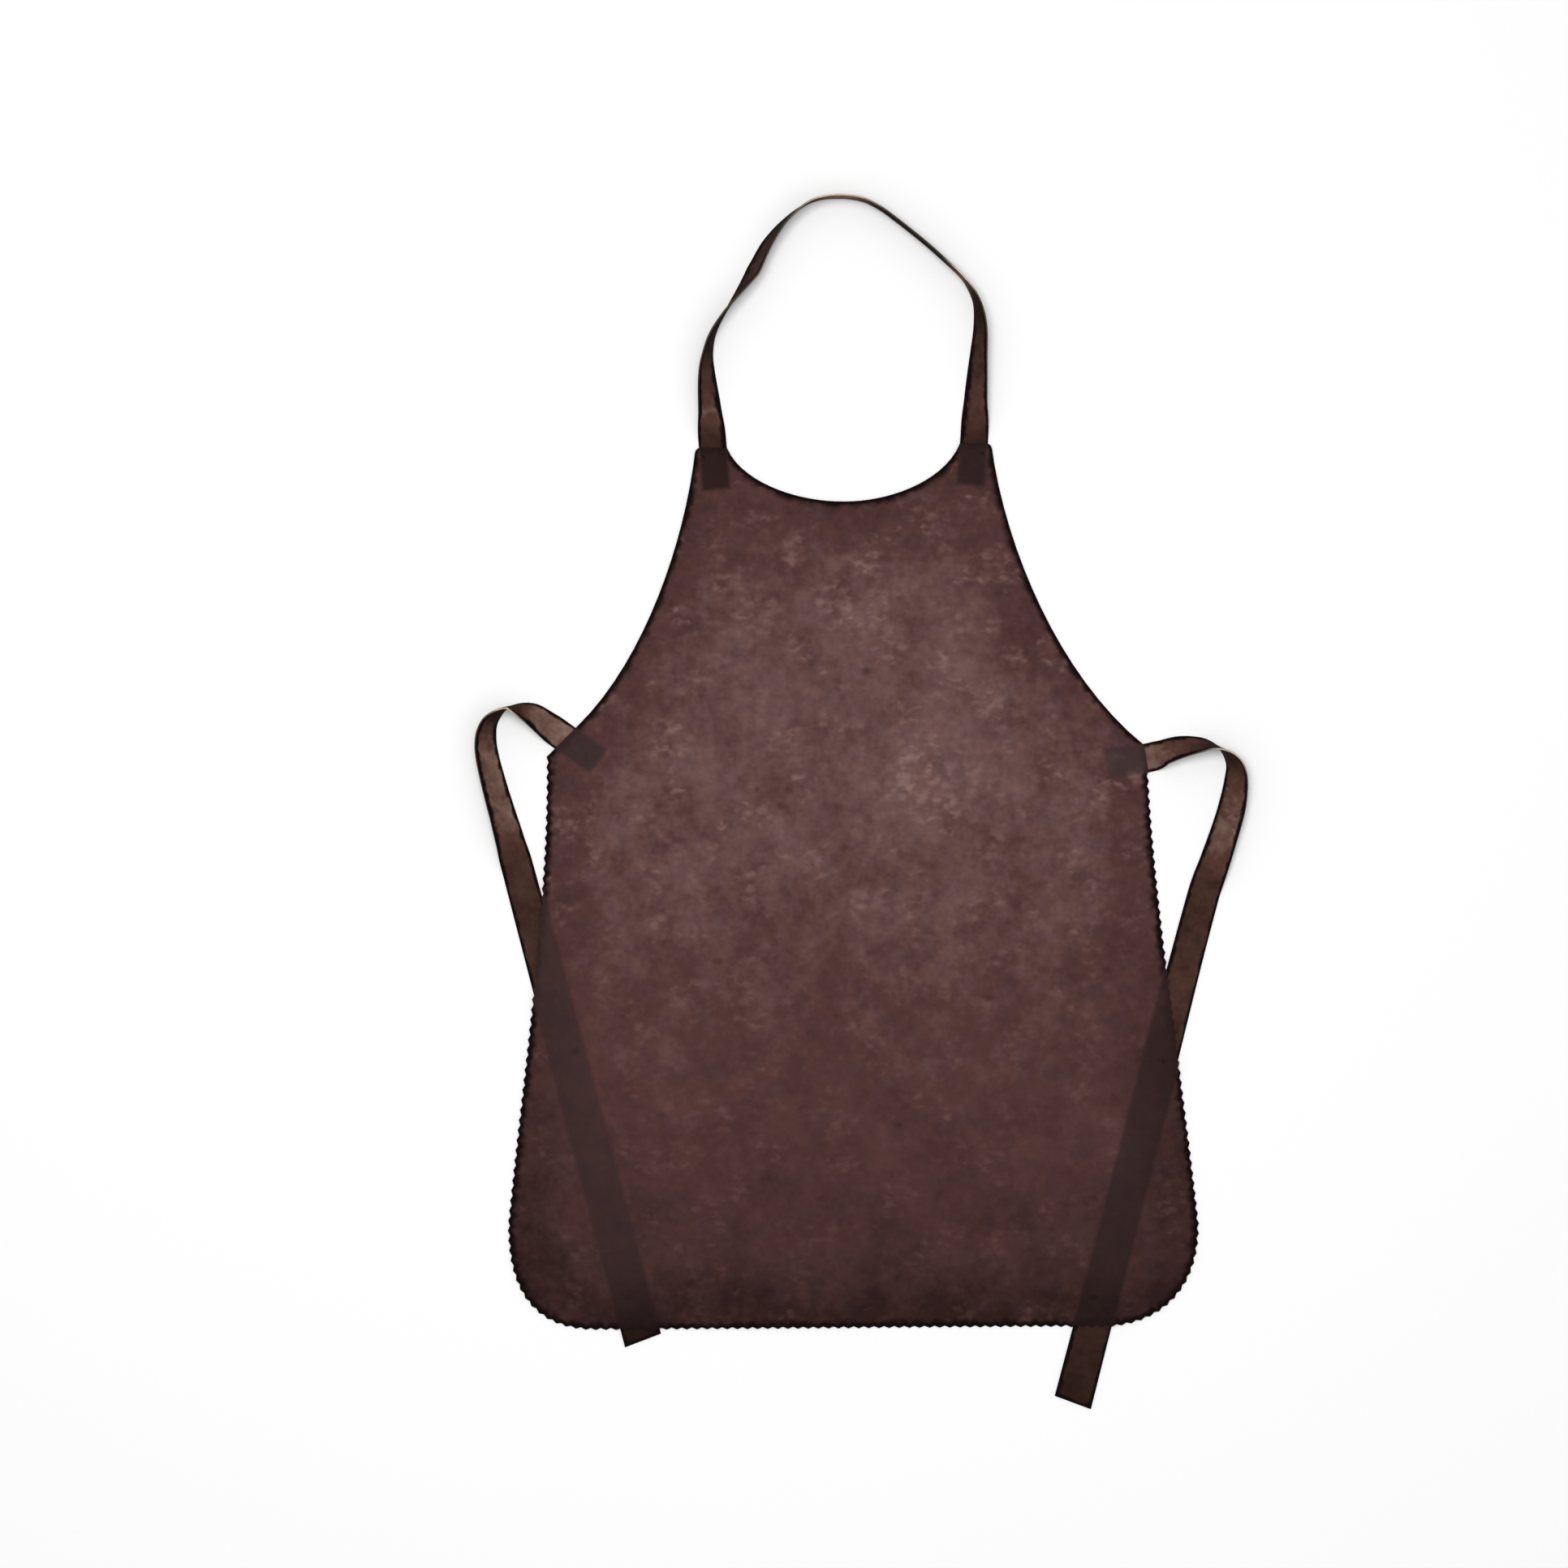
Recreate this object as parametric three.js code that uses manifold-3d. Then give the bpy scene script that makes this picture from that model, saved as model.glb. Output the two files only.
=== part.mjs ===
// Bib apron of thin leather, lying on its back with its neck loop and waist ties spread on the floor.
// Sizes are millimetres. X points right as the apron is looked down on, Y towards the bib, Z up.
// The origin is on the panel's underside, on the skirt's midline, halfway from hem to bib.

import * as THREE from 'three';
import { mergeVertices } from 'three/addons/utils/BufferGeometryUtils.js';
import Module from 'manifold-3d';

const wasm = await Module();
wasm.setup();

// Panel
const PANEL_WIDTH = 596; // across the skirt where it is widest
const PANEL_HEIGHT = 763; // hem to bib top
const PANEL_THICKNESS = 1.4;
const WAIST_WIDTH = 519; // between the feet of the two cut-off waist corners
const WAIST_SHIFT = -5.2; // the waist's middle from the skirt's midline
const BIB_WIDTH = 255; // across the bib top
const BIB_SHIFT = -8.7; // the bib's middle from the skirt's midline
const BIB_MARGIN = 3; // the bib corner past the neck strap's outer edge
const BIB_CORNER_ROUND = 5;
const NECKLINE_DEPTH = 50;
const HEM_TILT = 3; // the hem's left end lies this much lower than its right end
const HEM_CORNER_WIDTH = 77;
const HEM_CORNER_HEIGHT = 90;
const TOOTH_PITCH = 8.7; // pinking along the sides and hem
const TOOTH_DEPTH = 1.8;

// Straps
const STRAP_THICKNESS = 1.5;
const NECK_STRAP_WIDTH = 24;
const NECK_LOOP_HEIGHT = 213; // bib top to the far side of the neck loop
const NECK_SEWN_LENGTH = 36; // hidden under the bib corner
const NECK_SEWN_LEAN = 3; // the hidden end lies this far nearer the midline
const TIE_SEWN_WIDTH = 24.5;
const TIE_FREE_WIDTH = 33;
const TIE_SEWN_LENGTH = 35; // hidden under the waist corner
const TIE_LOOP_DROP = 117; // waist corner down to where the tie lies flat again
const LEFT_LOOP_REACH = 68; // waist corner out to the furthest part of the tie's loop
const RIGHT_LOOP_REACH = 77;
const LEFT_TIE_SHOWS = 10.5; // free end past the hem
const RIGHT_TIE_SHOWS = 64;
const TIE_END_SKEW = 6; // degrees that the free end is cut off square

// Fit
const CLEARANCE = 0.3; // between the panel and what lies under it
const EXIT_LENGTH = 5; // run that a sewn strap lies flat past the panel's edge
const DRAPE_RAMP = 6; // run over which the panel climbs onto a strap

const CURVE_STEPS = 16; // points along each smooth curve of the outline
const CORNER_STEPS = 3; // and round each outer corner of the bib
const STRAP_STEPS = 3; // strap sections from one row of a table to the next

// The two sides of the outline as they lie. Up is a share of the panel's height from the hem, and
// cutIn and cutUp are shares of the tie's sewn width, which the cut-off waist corner carries.
// The side and hem corner curves hold their control points, as shares of the curve's own box.
// The tie crosses the cut at a share of its length from the top, rise degrees above level.
// Its rows go from there round the loop: out is a share of the loop's reach, down a share of its
// drop, and turn the degrees that the tie has rolled.
const SIDES = {
  left: {
    sign: -1, bibUp: 0.995, waistUp: 0.6455, cutIn: 1.09, cutUp: 1.09,
    sideCurve: [{ across: -0.03, along: 0.34 }, { across: 0.68, along: 0.71 }],
    hemCornerCurve: [{ across: -0.01, along: 0.60 }, { across: 0.26, along: 1.01 }],
    crossing: 0.39, rise: 35, reach: LEFT_LOOP_REACH, shows: LEFT_TIE_SHOWS, endAcross: 0.3045,
    loop: [
      { out: 0.234, down: -0.101, turn: 26 },
      { out: 0.410, down: -0.175, turn: 42 },
      { out: 0.549, down: -0.205, turn: 60 },
      { out: 0.640, down: -0.216, turn: 74 },
      { out: 0.723, down: -0.222, turn: 88 },
      { out: 0.815, down: -0.196, turn: 98 },
      { out: 0.945, down: -0.119, turn: 116 },
      { out: 0.995, down: -0.030, turn: 127 },
      { out: 0.995, down: 0.090, turn: 133 },
      { out: 0.890, down: 0.357, turn: 139 },
      { out: 0.785, down: 0.571, turn: 144 },
      { out: 0.682, down: 0.786, turn: 154 },
      { out: 0.585, down: 1.000, turn: 180 },
    ],
  },
  right: {
    sign: 1, bibUp: 1, waistUp: 0.63, cutIn: 0.17, cutUp: 0.92,
    sideCurve: [{ across: 0.13, along: 0.30 }, { across: 0.74, along: 0.72 }],
    hemCornerCurve: [{ across: -0.01, along: 0.70 }, { across: 0.50, along: 0.98 }],
    crossing: 0.5, rise: 8, reach: RIGHT_LOOP_REACH, shows: RIGHT_TIE_SHOWS, endAcross: 0.3174,
    loop: [
      { out: 0.190, down: -0.040, turn: 34 },
      { out: 0.356, down: -0.075, turn: 42 },
      { out: 0.502, down: -0.091, turn: 53 },
      { out: 0.648, down: -0.096, turn: 66 },
      { out: 0.740, down: -0.087, turn: 78 },
      { out: 0.845, down: -0.057, turn: 91 },
      { out: 0.922, down: -0.012, turn: 105 },
      { out: 0.980, down: 0.050, turn: 118 },
      { out: 1.000, down: 0.139, turn: 131 },
      { out: 0.960, down: 0.349, turn: 146 },
      { out: 0.866, down: 0.566, turn: 151 },
      { out: 0.758, down: 0.783, turn: 160 },
      { out: 0.648, down: 1.000, turn: 180 },
    ],
  },
};

// The neck strap from the left bib corner round to the right one: across is a share of the bib's
// width from its middle, rise a share of the loop's height, turn the degrees the strap has rolled.
const NECK_LOOP = [
  { across: -0.4500, rise: 0.120, turn: 34 },
  { across: -0.4610, rise: 0.279, turn: 56 },
  { across: -0.4580, rise: 0.358, turn: 71 },
  { across: -0.4420, rise: 0.437, turn: 81 },
  { across: -0.4000, rise: 0.529, turn: 91 },
  { across: -0.3460, rise: 0.620, turn: 106 },
  { across: -0.3040, rise: 0.696, turn: 119 },
  { across: -0.2590, rise: 0.800, turn: 113 },
  { across: -0.1950, rise: 0.899, turn: 101 },
  { across: -0.1130, rise: 0.973, turn: 93 },
  { across: -0.0250, rise: 0.994, turn: 90 },
  { across: 0.0800, rise: 0.975, turn: 90 },
  { across: 0.2220, rise: 0.859, turn: 90 },
  { across: 0.3460, rise: 0.732, turn: 90 },
  { across: 0.4090, rise: 0.657, turn: 89 },
  { across: 0.4480, rise: 0.575, turn: 80 },
  { across: 0.4615, rise: 0.476, turn: 66 },
  { across: 0.4550, rise: 0.338, turn: 54 },
  { across: 0.4460, rise: 0.161, turn: 36 },
];

// Control points of the outline's curves, as shares of each curve's own box from its upper end
const ARMHOLE_CURVE = [{ across: 0.08, along: 0.32 }, { across: 0.42, along: 0.76 }];
const NECKLINE_CURVE = [{ across: 0.13, along: 0.65 }, { across: 0.61, along: 1.01 }];

const BIB_CORNER_WIDTH = NECK_STRAP_WIDTH + BIB_MARGIN;
const HEM_Y = -PANEL_HEIGHT / 2;
const LIFT = STRAP_THICKNESS + CLEARANCE;

function heightAt(up) {
  return HEM_Y + up * PANEL_HEIGHT;
}

// The named corners of one side of the outline, top to bottom
function sideCorners({ sign, bibUp, waistUp, cutIn, cutUp }) {
  const bibTop = heightAt(bibUp);
  const bibOuter = new THREE.Vector2(BIB_SHIFT + sign * BIB_WIDTH / 2, bibTop);
  const waistFoot = new THREE.Vector2(WAIST_SHIFT + sign * WAIST_WIDTH / 2, heightAt(waistUp));
  return {
    bibInner: bibOuter.clone().setX(bibOuter.x - sign * BIB_CORNER_WIDTH),
    bibOuter,
    waistTop: waistFoot.clone().add(
      new THREE.Vector2(-sign * cutIn * TIE_SEWN_WIDTH, cutUp * TIE_SEWN_WIDTH)),
    waistFoot,
    skirt: new THREE.Vector2(sign * PANEL_WIDTH / 2, HEM_Y + HEM_CORNER_HEIGHT),
    hem: new THREE.Vector2(
      sign * (PANEL_WIDTH / 2 - HEM_CORNER_WIDTH), HEM_Y + sign * HEM_TILT / 2),
  };
}

const corners = {
  left: sideCorners(SIDES.left),
  right: sideCorners(SIDES.right),
};

// One curve of the outline between two corners; its shares are measured from the upper one
function outlineCurve(upper, lower, shares, upwards = false) {
  const box = lower.clone().sub(upper);
  const [first, second] = shares.map(({ across, along }) => (
    new THREE.Vector2(upper.x + across * box.x, upper.y + along * box.y)));
  return upwards
    ? new THREE.CubicBezierCurve(lower, second, first, upper)
    : new THREE.CubicBezierCurve(upper, first, second, lower);
}

// Points along a curve without its last, which the next stretch starts with
function smoothPoints(curve) {
  return curve.getSpacedPoints(CURVE_STEPS).slice(0, -1);
}

// A zigzag cut into the edge, with its tips on the curve and its body on the left of the way it runs
function pinkedPoints(path) {
  const steps = 2 * Math.round(path.getLength() / TOOTH_PITCH);
  return Array.from({ length: steps }, (_, step) => {
    const point = path.getPoint(step / steps);
    if (step % 2 === 1) {
      const tangent = path.getTangent(step / steps);
      point.add(new THREE.Vector2(-tangent.y, tangent.x).multiplyScalar(TOOTH_DEPTH));
    }
    return point;
  });
}

// The rounded outer corner of the bib, from the edge it arrives on to the edge it leaves by
function roundedCorner(arriving, corner, leaving) {
  const start = corner.clone().add(arriving.clone().sub(corner).setLength(BIB_CORNER_ROUND));
  const end = corner.clone().add(leaving.clone().sub(corner).setLength(BIB_CORNER_ROUND));
  return new THREE.QuadraticBezierCurve(start, corner, end).getPoints(CORNER_STEPS);
}

// The panel's whole outline, anticlockwise from the left bib corner
function panelOutline() {
  const { left, right } = corners;
  const neckBottom = new THREE.Vector2(BIB_SHIFT, heightAt(1) - NECKLINE_DEPTH);
  const pinked = new THREE.CurvePath();
  pinked.add(outlineCurve(left.waistFoot, left.skirt, SIDES.left.sideCurve));
  pinked.add(outlineCurve(left.skirt, left.hem, SIDES.left.hemCornerCurve));
  pinked.add(new THREE.LineCurve(left.hem, right.hem));
  pinked.add(outlineCurve(right.skirt, right.hem, SIDES.right.hemCornerCurve, true));
  pinked.add(outlineCurve(right.waistFoot, right.skirt, SIDES.right.sideCurve, true));
  const leftArmhole = smoothPoints(outlineCurve(left.bibOuter, left.waistTop, ARMHOLE_CURVE)).slice(1);
  const rightArmhole = smoothPoints(outlineCurve(right.bibOuter, right.waistTop, ARMHOLE_CURVE, true));
  return [
    ...roundedCorner(left.bibInner, left.bibOuter, leftArmhole[0]),
    ...leftArmhole,
    left.waistTop,
    ...pinkedPoints(pinked),
    right.waistFoot,
    ...rightArmhole,
    ...roundedCorner(rightArmhole.at(-1), right.bibOuter, right.bibInner),
    ...smoothPoints(outlineCurve(right.bibInner, neckBottom, NECKLINE_CURVE)),
    ...smoothPoints(outlineCurve(left.bibInner, neckBottom, NECKLINE_CURVE, true)),
    left.bibInner,
  ];
}

function toSolid(geometry) {
  const bare = geometry.clone();
  bare.deleteAttribute('normal');
  bare.deleteAttribute('uv');
  const merged = mergeVertices(bare);
  return new wasm.Manifold(new wasm.Mesh({
    numProp: 3,
    vertProperties: new Float32Array(merged.attributes.position.array),
    triVerts: new Uint32Array(merged.index.array),
  }));
}

function toGeometry(solid) {
  const { vertProperties, triVerts } = solid.getMesh();
  const geometry = new THREE.BufferGeometry();
  geometry.setAttribute('position', new THREE.BufferAttribute(vertProperties, 3));
  geometry.setIndex(new THREE.BufferAttribute(triVerts, 1));
  geometry.computeVertexNormals();
  return geometry;
}

// A closed skin through a row of rings with four points each, capped at both ends
function loftRings(rings) {
  const positions = rings.flat().flatMap((point) => point.toArray());
  const last = 4 * (rings.length - 1);
  const faces = [0, 2, 1, 0, 3, 2, last, last + 1, last + 2, last, last + 2, last + 3];
  for (let ring = 0; ring < last; ring += 4) {
    for (let side = 0; side < 4; side += 1) {
      const here = ring + side;
      const beside = ring + (side + 1) % 4;
      faces.push(here, beside, beside + 4, here, beside + 4, here + 4);
    }
  }
  const geometry = new THREE.BufferGeometry();
  geometry.setAttribute('position', new THREE.Float32BufferAttribute(positions, 3));
  geometry.setIndex(faces);
  geometry.computeVertexNormals();
  return geometry;
}

// The ground that a straight stretch of strap covers, grown by a margin on every side
function footprint({ from, to, width }, margin, z) {
  const along = to.clone().sub(from).normalize();
  const aside = new THREE.Vector2(-along.y, along.x);
  const reach = width / 2 + margin;
  return [[from, -margin, -reach], [to, margin, -reach], [to, margin, reach], [from, -margin, reach]]
    .map(([end, step, offset]) => {
      const point = end.clone().addScaledVector(along, step).addScaledVector(aside, offset);
      return new THREE.Vector3(point.x, point.y, z);
    });
}

// A low mound over a stretch of strap, level on top and falling to the base over the ramp.
// Its skirt goes on down at the same slope, into the leather below it.
function mound(stretch, base) {
  const sunk = PANEL_THICKNESS / 2;
  const footMargin = CLEARANCE + DRAPE_RAMP * (1 + sunk / LIFT);
  return toSolid(loftRings([
    footprint(stretch, footMargin, base - sunk),
    footprint(stretch, CLEARANCE, base + LIFT),
  ]));
}

// The panel: a flat sheet, raised over each hidden stretch of strap, cut to the outline
function buildPanel(hiddenStretches) {
  const width = 2 * PANEL_WIDTH;
  const height = 2 * PANEL_HEIGHT;
  let sheet = toSolid(new THREE.BoxGeometry(width, height, PANEL_THICKNESS)
    .translate(0, 0, PANEL_THICKNESS / 2));
  hiddenStretches.forEach((stretch) => {
    sheet = sheet.add(mound(stretch, PANEL_THICKNESS));
  });
  hiddenStretches.forEach((stretch) => {
    sheet = sheet.subtract(mound(stretch, 0));
  });
  const tall = PANEL_THICKNESS + 2 * LIFT;
  const cutter = new THREE.ExtrudeGeometry(new THREE.Shape(panelOutline()), {
    depth: 2 * tall, bevelEnabled: false,
  }).translate(0, 0, -tall);
  return toGeometry(sheet.intersect(toSolid(cutter)));
}

// A strap through rows of place and turn. It rolls about its own middle line, left edge rising,
// and its lowest edge always lies on the floor. The free end, if any, is cut skew.
function buildStrap(rows, startWidth, endWidth, endSkew = 0) {
  const middle = new THREE.CatmullRomCurve3(rows.map(({ x, y }) => new THREE.Vector3(x, y, 0)));
  const steps = (rows.length - 1) * STRAP_STEPS;
  const points = middle.getPoints(steps);
  const walked = points.map(() => 0);
  for (let step = 1; step <= steps; step += 1) {
    walked[step] = walked[step - 1] + points[step].distanceTo(points[step - 1]);
  }
  const rings = points.map((point, step) => {
    const row = Math.min(Math.floor(step / STRAP_STEPS), rows.length - 2);
    const share = step / STRAP_STEPS - row;
    const turn = THREE.MathUtils.degToRad(THREE.MathUtils.lerp(rows[row].turn, rows[row + 1].turn, share));
    const half = THREE.MathUtils.lerp(startWidth, endWidth, walked[step] / walked[steps]) / 2;
    const thin = STRAP_THICKNESS / 2;
    const tangent = middle.getTangent(step / steps);
    const level = new THREE.Vector3(-tangent.y, tangent.x, 0);
    const across = level.clone().multiplyScalar(Math.cos(turn)).setZ(Math.sin(turn));
    const outward = level.clone().multiplyScalar(-Math.sin(turn)).setZ(Math.cos(turn));
    const centre = point.clone().setZ(half * Math.abs(across.z) + thin * Math.abs(outward.z));
    const slant = step === steps ? half * Math.tan(THREE.MathUtils.degToRad(endSkew)) : 0;
    return [[-1, -1], [1, -1], [1, 1], [-1, 1]].map(([side, face]) => centre.clone()
      .addScaledVector(across, side * half)
      .addScaledVector(outward, face * thin)
      .addScaledVector(tangent, side * slant));
  });
  return loftRings(rings);
}

// A strap's sewn end: it crosses the panel's edge flat, with a hidden length under the panel
function sewnEnd(crossing, outward, hiddenLength, width) {
  const start = crossing.clone().addScaledVector(outward, -hiddenLength);
  const exit = crossing.clone().addScaledVector(outward, EXIT_LENGTH);
  return {
    inner: { x: start.x, y: start.y, turn: 0 },
    outer: { x: exit.x, y: exit.y, turn: 0 },
    stretch: { from: start, to: exit, width },
  };
}

// The neck strap's route, and its two stretches that the bib corners hide
function neckRoute() {
  const [left, right] = ['left', 'right'].map((name) => {
    const { sign } = SIDES[name];
    const crossing = corners[name].bibInner.clone();
    crossing.x += sign * NECK_STRAP_WIDTH / 2;
    const outward = new THREE.Vector2(sign * NECK_SEWN_LEAN, NECK_SEWN_LENGTH).normalize();
    return sewnEnd(crossing, outward, NECK_SEWN_LENGTH, NECK_STRAP_WIDTH);
  });
  const loop = NECK_LOOP.map(({ across, rise, turn }) => ({
    x: BIB_SHIFT + across * BIB_WIDTH,
    y: heightAt(1) + rise * NECK_LOOP_HEIGHT,
    turn,
  }));
  const rows = [left.inner, left.outer, ...loop, right.outer, right.inner];
  return { rows, stretches: [left.stretch, right.stretch] };
}

// One tie's route from under its waist corner, and its two stretches under the panel
function tieRoute({ sign, crossing, rise, reach, shows, endAcross, loop }, { waistTop, waistFoot }) {
  const corner = waistTop.clone().lerp(waistFoot, crossing);
  const angle = THREE.MathUtils.degToRad(rise);
  const outward = new THREE.Vector2(sign * Math.cos(angle), Math.sin(angle));
  const sewn = sewnEnd(corner, outward, TIE_SEWN_LENGTH, TIE_SEWN_WIDTH);
  const turned = loop.map(({ out, down, turn }) => ({
    x: corner.x + sign * out * reach,
    y: corner.y - down * TIE_LOOP_DROP,
    turn: -sign * turn,
  }));
  const flat = turned.at(-1);
  const end = { x: sign * endAcross * PANEL_WIDTH, y: HEM_Y - shows, turn: flat.turn };
  const halfway = { x: (flat.x + end.x) / 2, y: (flat.y + end.y) / 2, turn: flat.turn };
  const run = {
    from: new THREE.Vector2(flat.x, flat.y),
    to: new THREE.Vector2(end.x, end.y),
    width: TIE_FREE_WIDTH,
  };
  const rows = [sewn.inner, sewn.outer, ...turned, halfway, end];
  return { rows, stretches: [sewn.stretch, run] };
}

function leather(name, color, roughness) {
  return new THREE.MeshStandardMaterial({ name, color, roughness, metalness: 0 });
}

function part(name, geometry, material) {
  const mesh = new THREE.Mesh(geometry, material);
  mesh.name = name;
  return mesh;
}

const neck = neckRoute();
const leftTie = tieRoute(SIDES.left, corners.left);
const rightTie = tieRoute(SIDES.right, corners.right);
const hidden = [...neck.stretches, ...leftTie.stretches, ...rightTie.stretches];

const apron = new THREE.Group();
apron.name = 'bib_apron';
apron.add(
  part('panel', buildPanel(hidden), leather('panel leather', 0x5f4341, 0.75)),
  part('neck_strap', buildStrap(neck.rows, NECK_STRAP_WIDTH, NECK_STRAP_WIDTH),
    leather('neck strap leather', 0x5d443c, 0.8)),
  part('left_tie', buildStrap(leftTie.rows, TIE_SEWN_WIDTH, TIE_FREE_WIDTH, TIE_END_SKEW),
    leather('left tie leather', 0x6f584e, 0.8)),
  part('right_tie', buildStrap(rightTie.rows, TIE_SEWN_WIDTH, TIE_FREE_WIDTH, -TIE_END_SKEW),
    leather('right tie leather', 0x6f584e, 0.8)),
);

export default apron;
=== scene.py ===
import math
from collections import namedtuple

import bmesh
import bpy
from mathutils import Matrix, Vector, kdtree, noise


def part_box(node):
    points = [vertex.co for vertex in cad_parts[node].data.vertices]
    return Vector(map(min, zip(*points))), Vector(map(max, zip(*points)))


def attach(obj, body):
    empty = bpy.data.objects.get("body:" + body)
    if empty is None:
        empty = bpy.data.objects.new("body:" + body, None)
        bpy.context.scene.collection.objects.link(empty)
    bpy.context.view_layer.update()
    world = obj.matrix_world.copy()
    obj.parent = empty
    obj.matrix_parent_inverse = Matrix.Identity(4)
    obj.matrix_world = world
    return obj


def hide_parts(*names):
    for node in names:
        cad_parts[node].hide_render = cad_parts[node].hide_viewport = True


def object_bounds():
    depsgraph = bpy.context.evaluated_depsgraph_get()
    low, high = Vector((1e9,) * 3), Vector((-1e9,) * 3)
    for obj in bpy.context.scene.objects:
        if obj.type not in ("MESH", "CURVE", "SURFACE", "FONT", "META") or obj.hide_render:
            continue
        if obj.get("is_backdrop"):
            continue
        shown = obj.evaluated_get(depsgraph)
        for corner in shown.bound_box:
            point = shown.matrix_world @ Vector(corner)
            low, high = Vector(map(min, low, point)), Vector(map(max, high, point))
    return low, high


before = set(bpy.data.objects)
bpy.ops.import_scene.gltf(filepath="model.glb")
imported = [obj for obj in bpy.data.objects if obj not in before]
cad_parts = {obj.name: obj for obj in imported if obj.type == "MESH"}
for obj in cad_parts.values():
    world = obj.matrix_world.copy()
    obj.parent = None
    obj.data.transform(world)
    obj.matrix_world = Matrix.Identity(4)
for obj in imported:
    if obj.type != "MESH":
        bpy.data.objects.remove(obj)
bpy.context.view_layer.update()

MM = 0.001

# The leather as it is cut and laid
PANEL_THICKNESS = 1.4 * MM
STRAP_THICKNESS = 1.5 * MM
CLEARANCE = 0.3 * MM  # between the panel and a strap under it
DRAPE_RAMP = 6 * MM  # run over which the panel climbs onto a strap
EDGE_ROUND = 0.3 * MM  # wear on the corners of every cut edge
SWELL_HEIGHT = 1.1 * MM  # how far the resting panel lifts off the floor
SWELL_LENGTH = 170 * MM
SWELL_MIDDLE = 0.5  # the panel lies at this share of that height, give or take the two swells below
BROAD_SWELL = 0.6
SMALL_SWELL = 0.25
SMALL_SWELL_RATE = 2.7  # small swells for each broad one
SMALL_SWELL_SHIFT = Vector((3.1, 0.7, 0))
STRAP_BOW = 0.8 * MM  # a strap bows this much across where it stands on edge

# Fineness of the meshes
CELL = 4 * MM  # the panel is cut into cells of this size
STRAP_CELL = 3 * MM
STRAP_CELLS_ACROSS = 8
EDGE_BANDS = (4 * MM, 5 * MM)  # widths of the two bands that follow the panel's cut edge
EDGE_SAMPLE = 0.5 * MM
EDGE_SEGMENTS = 2
SHARP_ANGLE = math.radians(40)
WELD = 0.01 * MM
SHORTEST_EDGE = 0.5 * MM  # in the panel's pattern
STRAIGHT_ANGLE = math.radians(1)  # a corner of the pattern that turns less than this is dropped
RING_CORNERS = 4
RING_LINKS = 6  # edges that meet at a strap solid's corner, except on its end caps
FACES_UP = 0.5  # a face of the panel's solid is part of its top where it points up this squarely
LEVEL = 0.9  # a face of the cut panel is part of its top or its underside beyond this
BACK_PLACE = 1  # in each piece's list of materials, after its face
EDGE_PLACE = 2
FLAT_UP = 0.9995  # a strap lies flat where its face points up or down this squarely

# The picture
CAMERA_PLACE = (-59.85 * MM, 87.85 * MM, 4.0)
PICTURE_WIDTH = 1352.4 * MM  # of floor across the picture
SENSOR_WIDTH = 36.0
FLOOR_SIZE = 12.0
FLOOR_DEPTH = 0.05 * MM  # under the apron, so that the two never share a plane
FLOOR_GREY = (0.92, 0.92, 0.92, 1.0)
FLOOR_ROUGHNESS = 0.9
WHITE = (1.0, 1.0, 1.0, 1.0)
SKY_STRENGTH = 0.42
LIGHTS = [
    {"name": "key light", "place": (-0.5, 0.7, 4.5), "size": 2.2, "power": 140},
    {"name": "fill light", "place": (1.2, -0.6, 3.0), "size": 2.4, "power": 10},
]

Section = namedtuple("Section", "left right up")
Stretch = namedtuple("Stretch", "start heading length width tint")

# How a strap's leather shows by how squarely its face points up, from 0 on edge to 1 flat: how light
# it is, as painted light and shade (near black on edge, lightest when tilted a little), and how far the
# dark lines reach in from its edges, in millimetres, widest as painted shade where it is half turned
PAINTED_LOOKS_BY_TURN = [
    {"upward": 0.00, "tone": 0.02, "line": 3.5},
    {"upward": 0.30, "tone": 0.10, "line": 4.0},
    {"upward": 0.50, "tone": 0.42, "line": 6.0},
    {"upward": 0.80, "tone": 0.66, "line": 5.0},
    {"upward": 1.00, "tone": 0.60, "line": 3.5},
]
EDGE_TONE = 0.10  # how light the cut edge is where it has no mark
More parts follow.
